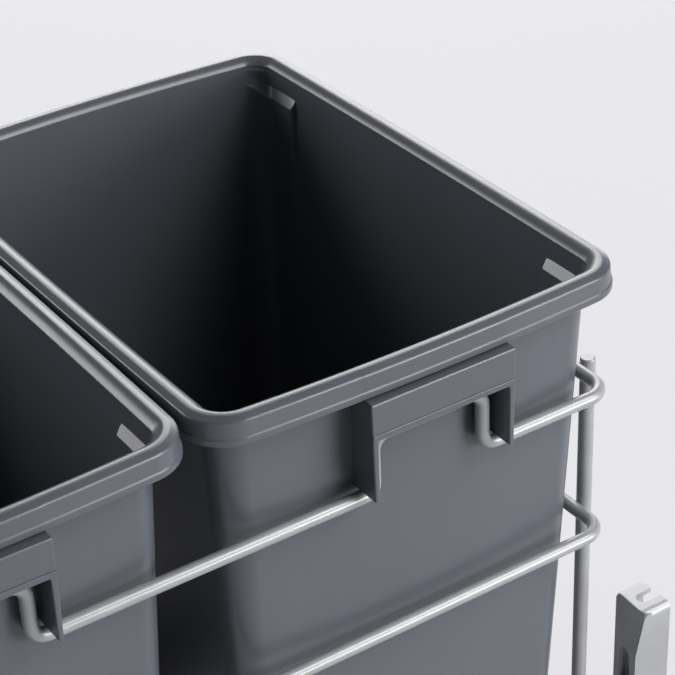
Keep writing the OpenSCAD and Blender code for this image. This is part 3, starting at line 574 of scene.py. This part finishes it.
hookMesh = makeHook(hookShape, binShape)
shoulderMesh = makeShoulder(shoulderShape, binShape)
for place, body, word in ((1, "bin_front", "binFront"), (-1, "bin_rear", "binRear")):
    for side, sideWord in ((-1, "Right"), (1, "Left")):
        for source, kind in ((hookMesh, "Hook"), (shoulderMesh, "Shoulder")):
            finishPiece(word + kind + sideWord, copyTo(source, binShape, place, side), body, "bin_plastic")
print("hooks and shoulders set")


# hoops of bent wire: square corners with a radius each, swept by extrude and spin
wireShape = {
    "diameter": 7, "around": 24, "bendSteps": 10, "x": 229.5, "y": 157, "corner": 12, "bend": 8, "tightBend": 5,
    "upper": 353.8, "lower": 268.8, "bottom": 61.1,
    "humpAt": (-118.6, 120.4), "humpLong": 62.6, "humpHigh": 31.2,
}


def sweepWire(w, corners):
    bm = bmesh.new()
    count = len(corners)
    points = [Vector(c[:3]) for c in corners]
    radii = [c[3] for c in corners]
    heading = (points[1] - points[0]).normalized()
    facing = heading.to_track_quat("Z", "Y").to_matrix().to_4x4()
    bmesh.ops.create_circle(bm, cap_ends=False, radius=w["diameter"] / 2, segments=w["around"],
                            matrix=Matrix.Translation(points[0] + heading * radii[0]) @ facing)
    ring = bm.edges[:]
    for i in range(count):
        here, following = points[i], points[(i + 1) % count]
        heading = (following - here).normalized()
        nextRadius = radii[(i + 1) % count]
        straight = (following - here).length - radii[i] - nextRadius
        fresh, ring = growRing(bm, ring)
        bmesh.ops.translate(bm, vec=heading * straight, verts=fresh)
        turned = (points[(i + 2) % count] - following).normalized()
        centre = following + (turned - heading) * nextRadius
        spun = bmesh.ops.spin(bm, geom=ring + fresh, cent=centre, axis=heading.cross(turned), dvec=(0, 0, 0),
                              angle=math.radians(90), steps=w["bendSteps"], use_merge=False, use_duplicate=False)
        ring = onlyEdges(spun["geom_last"])
    bmesh.ops.remove_doubles(bm, verts=bm.verts[:], dist=0.01)
    bmesh.ops.recalc_face_normals(bm, faces=bm.faces[:])
    return bm


def hoopCorners(w, z, humps):
    side, y, corner, bend = w["x"], w["y"], w["corner"], w["bend"]
    near = [(-side, -y, z, corner)]
    for middle in humps:
        left, right, top = middle - w["humpLong"] / 2, middle + w["humpLong"] / 2, z + w["humpHigh"]
        near += [(left, -y, z, w["tightBend"]), (left, -y, top, bend), (right, -y, top, bend), (right, -y, z, bend)]
    near += [(side, -y, z, corner)]
    far = [(x, -nearY, level, radius) for x, nearY, level, radius in reversed(near)]
    return near + far


for word, humps in (("upper", wireShape["humpAt"]), ("lower", ()), ("bottom", ())):
    hoop = sweepWire(wireShape, hoopCorners(wireShape, wireShape[word], humps))
    finishPiece(word + "Hoop", hoop, "moving_frame", "wire_coat", [word + "_hoop"], 60)

# upright posts with rounded ends
postShape = {
    "diameter": 8, "around": 32, "x": 236.6, "y": 132.6, "top": 358.3, "frontFoot": 22, "rearFoot": 56,
    "endRound": 0.9,
}


def makePost(p, name, node, x, y, foot):
    bm = bmesh.new()
    high, radius = p["top"] - foot, p["diameter"] / 2
    bmesh.ops.create_cone(bm, cap_ends=True, segments=p["around"], radius1=radius, radius2=radius, depth=high,
                          matrix=Matrix.Translation((x, y, foot + high / 2)))
    roundEdges(bm, sharpEdges(bm, 60), p["endRound"], 4)
    finishPiece(name, bm, "moving_frame", "wire_coat", [node], 50)


for word, way in (("front", 1), ("rear", -1)):
    for side, sideWay in (("right", -1), ("left", 1)):
        makePost(postShape, word + side.capitalize() + "Post", "post_" + word + "_" + side,
                 way * postShape["x"], sideWay * postShape["y"], postShape[word + "Foot"])
print("wire frame bent")


# sheet, slide and small parts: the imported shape, merged, with folds and edges rounded
def mergedCopy(node):
    bm = bmesh.new()
    bm.from_mesh(nodes[node].data)
    bmesh.ops.scale(bm, vec=(1 / mm, 1 / mm, 1 / mm), verts=bm.verts[:])
    bmesh.ops.remove_doubles(bm, verts=bm.verts[:], dist=0.004)
    bmesh.ops.dissolve_limit(bm, angle_limit=math.radians(0.5), verts=bm.verts[:], edges=bm.edges[:])
    return bm


def roundedCopy(name, node, body, slotName, edge, segments=2, angle=38):
    bm = mergedCopy(node)
    if edge:
        roundEdges(bm, sharpEdges(bm), edge, segments, True)
    finishPiece(name, bm, body, slotName, [node], angle)


# a fold is a long sharp edge between two wide faces
sheetShape = {"edge": 0.25, "fold": 2.4, "innerFold": 0.6, "foldLong": 20, "foldWide": 4}


def findFolds(bm, s, convex):
    long = [e for e in sharpEdges(bm) if e.calc_length() > s["foldLong"] and e.is_convex == convex]
    return [e for e in long if min(f.calc_area() for f in e.link_faces) / e.calc_length() > s["foldWide"]]


def foldedCopy(s, name, node, body):
    bm = mergedCopy(node)
    roundEdges(bm, findFolds(bm, s, True), s["fold"], 5, True)
    roundEdges(bm, findFolds(bm, s, False), s["innerFold"], 3, True)
    roundEdges(bm, sharpEdges(bm), s["edge"], 2, True)
    finishPiece(name, bm, body, "sheet_steel", [node])


# door bracket: the fork's long edges are rounded more than the others
castShape = {
    "outerRound": 4.0, "innerRound": 2.2, "webRound": 1.2, "edgeRound": 0.45, "twistLong": 25, "twistMost": 30,
    "slotMiddle": 147, "slotHalf": 3.4, "slotHigh": 4, "slotReach": 270.4, "slotDeeper": 3.0, "slotWider": 1.2,
}


def makeDoorBracket(c, name, node):
    bm = mergedCopy(node)
    most = math.radians(c["twistMost"])
    twist = [e for e in sharpEdges(bm, 20) if e.calc_length() > c["twistLong"] and e.calc_face_angle(0) < most]
    bmesh.ops.dissolve_edges(bm, edges=twist)  # the twisted side shades as one face
    top = max(v.co.z for v in bm.verts)
    for vert in bm.verts:  # the fork's slot, a little deeper and wider
        across = abs(vert.co.y) - c["slotMiddle"]
        if vert.co.z > top - c["slotHigh"] and abs(across) < c["slotHalf"]:
            vert.co.y += math.copysign(across * (c["slotWider"] - 1), across * vert.co.y)
            vert.co.x -= c["slotDeeper"] if vert.co.x < c["slotReach"] else 0
    outside = max((v.co.y for v in bm.verts), key=abs)
    inside = min((v.co.y for v in bm.verts), key=abs)
    webX = min(v.co.x for v in bm.verts)
    for y, size, segments in ((outside, c["outerRound"], 8), (inside, c["innerRound"], 6)):
        roundEdges(bm, [e for e in sharpEdges(bm) if liesAt(e, "z", top) and liesAt(e, "y", y)], size, segments)
    webFoot = top - c["outerRound"] - 10 * close
    web = [e for e in sharpEdges(bm, 30) if liesAt(e, "x", webX) and all(v.co.z > webFoot for v in e.verts)]
    roundEdges(bm, web, c["webRound"], 4)
    roundEdges(bm, sharpEdges(bm), c["edgeRound"], 3, True)
    finishPiece(name, bm, "moving_frame", "door_cast", [node])


for side in ("left", "right"):
    word = side.capitalize()
    foldedCopy(sheetShape, "slideBracket" + word, "slide_bracket_" + side, "moving_frame")
    foldedCopy(sheetShape, "floorAngle" + word, "floor_angle_" + side, "base")
foldedCopy(sheetShape, "frontCarrier", "front_carrier", "moving_frame")

edgeRounds = {"strap": 0.3, "fastener": 0.22, "rail": 0.2, "cage": 0.08, "stop": 0.9}
for place in ("front", "rear"):
    roundedCopy(place + "Strap", place + "_strap", "base", "sheet_steel", edgeRounds["strap"])
for side in ("left", "right"):
    word = side.capitalize()
    makeDoorBracket(castShape, "doorBracket" + word, "door_bracket_" + side)
    for kind, node, body in (("bracketScrews", "bracket_screws_", "moving_frame"),
                             ("bracketRivets", "bracket_rivets_", "moving_frame"),
                             ("baseRivets", "base_rivets_", "base")):
        roundedCopy(kind + word, node + side, body, "zinc_steel", edgeRounds["fastener"])
    for kind, body in (("inner", "moving_frame"), ("middle", "middle_" + side), ("outer", "base")):
        roundedCopy(kind + "Rail" + word, kind + "_rail_" + side, body, "zinc_steel", edgeRounds["rail"])
    for kind in ("inner", "outer"):
        cage = kind + "_cage_" + side
        roundedCopy(kind + "Cage" + word, cage, cage, "cage_steel", edgeRounds["cage"])
    for kind in ("inner", "outer"):
        roundedCopy(kind + "Balls" + word, kind + "_balls_" + side, kind + "_cage_" + side, "zinc_steel", 0, angle=80)
    roundedCopy("bumper" + word, "bumper_" + side, "base", "rubber", edgeRounds["stop"], segments=4)
roundedCopy("carrierNuts", "carrier_nuts", "moving_frame", "zinc_steel", edgeRounds["fastener"])
print("sheet, slide and small parts dressed")


# pale floor, soft lights and the camera
studio = {
    "floorSize": 60, "floorColour": (0.72, 0.715, 0.735), "floorRoughness": 0.9,
    "floorGlow": (0.735, 0.73, 0.762), "glowShare": 0.8,
    "key": {"place": (1.20, -1.32, 2.10), "aim": (0.10, -0.10, 0.35), "size": (1.15, 1.15), "power": 45},
    "back": {"place": (1.40, 1.92, 1.58), "aim": (0.10, 0.0, 0.40), "size": (1.7, 1.5), "power": 49},
    "low": {"place": (2.06, 2.00, 0.45), "aim": (0.10, 0.0, 0.40), "size": (2.2, 0.7), "power": 14},
    "left": {"place": (-1.50, 1.87, 1.18), "aim": (0.10, 0.0, 0.40), "size": (1.6, 1.3), "power": 42},
    "fill": {"place": (1.55, -2.25, 0.74), "aim": (0.0, 0.0, 0.25), "size": (1.6, 1.0), "power": 75},
    "horizon": 0.26, "zenith": 0.07, "skySpan": (0.0, 0.75), "skyTint": 1.02,
}


def makeFloor(s):
    bm = bmesh.new()
    bmesh.ops.create_grid(bm, x_segments=1, y_segments=1, size=s["floorSize"] / 2)
    mesh = bpy.data.meshes.new("studioFloor")
    bm.to_mesh(mesh)
    bm.free()
    floor = bpy.data.objects.new("studioFloor", mesh)
    bpy.context.scene.collection.objects.link(floor)
    finish = bpy.data.materials.new("paleFloor")
    finish.use_nodes = True
    tree = finish.node_tree
    shader = tree.nodes["Principled BSDF"]
    shader.inputs["Roughness"].default_value = s["floorRoughness"]
    shader.inputs["Base Color"].default_value = (*s["floorColour"], 1)
    rays = tree.nodes.new("ShaderNodeLightPath")
    seen = rays.outputs["Is Camera Ray"]
    for other in ("Is Glossy Ray", "Is Transmission Ray"):
        either = tree.nodes.new("ShaderNodeMath")
        either.operation = "MAXIMUM"
        tree.links.new(seen, either.inputs[0])
        tree.links.new(rays.outputs[other], either.inputs[1])
        seen = either.outputs["Value"]
    glow = tree.nodes.new("ShaderNodeEmission")
    glow.inputs["Color"].default_value = (*s["floorGlow"], 1)
    mix = tree.nodes.new("ShaderNodeMixShader")
    tree.links.new(addRange(tree, seen, (0, 1), (0, s["glowShare"])), mix.inputs["Fac"])
    tree.links.new(shader.outputs["BSDF"], mix.inputs[1])
    tree.links.new(glow.outputs["Emission"], mix.inputs[2])
    tree.links.new(mix.outputs["Shader"], tree.nodes["Material Output"].inputs["Surface"])
    mesh.materials.append(finish)


def makeLamp(name, lamp):
    light = bpy.data.lights.new(name, "AREA")
    light.shape = "RECTANGLE"
    light.size, light.size_y = lamp["size"]
    light.energy = lamp["power"]
    holder = bpy.data.objects.new(name, light)
    holder.location = lamp["place"]
    aim = Vector(lamp["aim"]) - Vector(lamp["place"])
    holder.rotation_euler = aim.to_track_quat("-Z", "Y").to_euler()
    bpy.context.scene.collection.objects.link(holder)


def makeWorld(s):
    world = bpy.data.worlds.new("softStudio")
    world.use_nodes = True
    tree = world.node_tree
    place = tree.nodes.new("ShaderNodeTexCoord").outputs["Generated"]
    split = tree.nodes.new("ShaderNodeSeparateXYZ")
    tree.links.new(place, split.inputs["Vector"])
    low, high = [(s[key], s[key], s[key] * s["skyTint"]) for key in ("horizon", "zenith")]
    tone = addRamp(tree, split.outputs["Z"], s["skySpan"], low, high)
    tree.links.new(tone, tree.nodes["Background"].inputs["Color"])
    bpy.context.scene.world = world


makeFloor(studio)
for lampName in ("key", "back", "low", "left", "fill"):
    makeLamp(lampName + "Light", studio[lampName])
makeWorld(studio)

cameraView = {
    "place": (-0.362553, -0.830210, 0.939918), "turn": (58.22097, 2.07127, -34.16954),
    "lens": 115.594, "sensor": 36, "nearest": 0.01,
}
cameraData = bpy.data.cameras.new("photoCamera")
cameraData.sensor_width = cameraView["sensor"]
cameraData.lens = cameraView["lens"]
cameraData.clip_start = cameraView["nearest"]
photoCamera = bpy.data.objects.new("photoCamera", cameraData)
photoCamera.location = cameraView["place"]
photoCamera.rotation_euler = [math.radians(a) for a in cameraView["turn"]]
bpy.context.scene.collection.objects.link(photoCamera)
bpy.context.scene.camera = photoCamera
bpy.context.scene.view_settings.view_transform = "Standard"
print("floor, light and camera set")
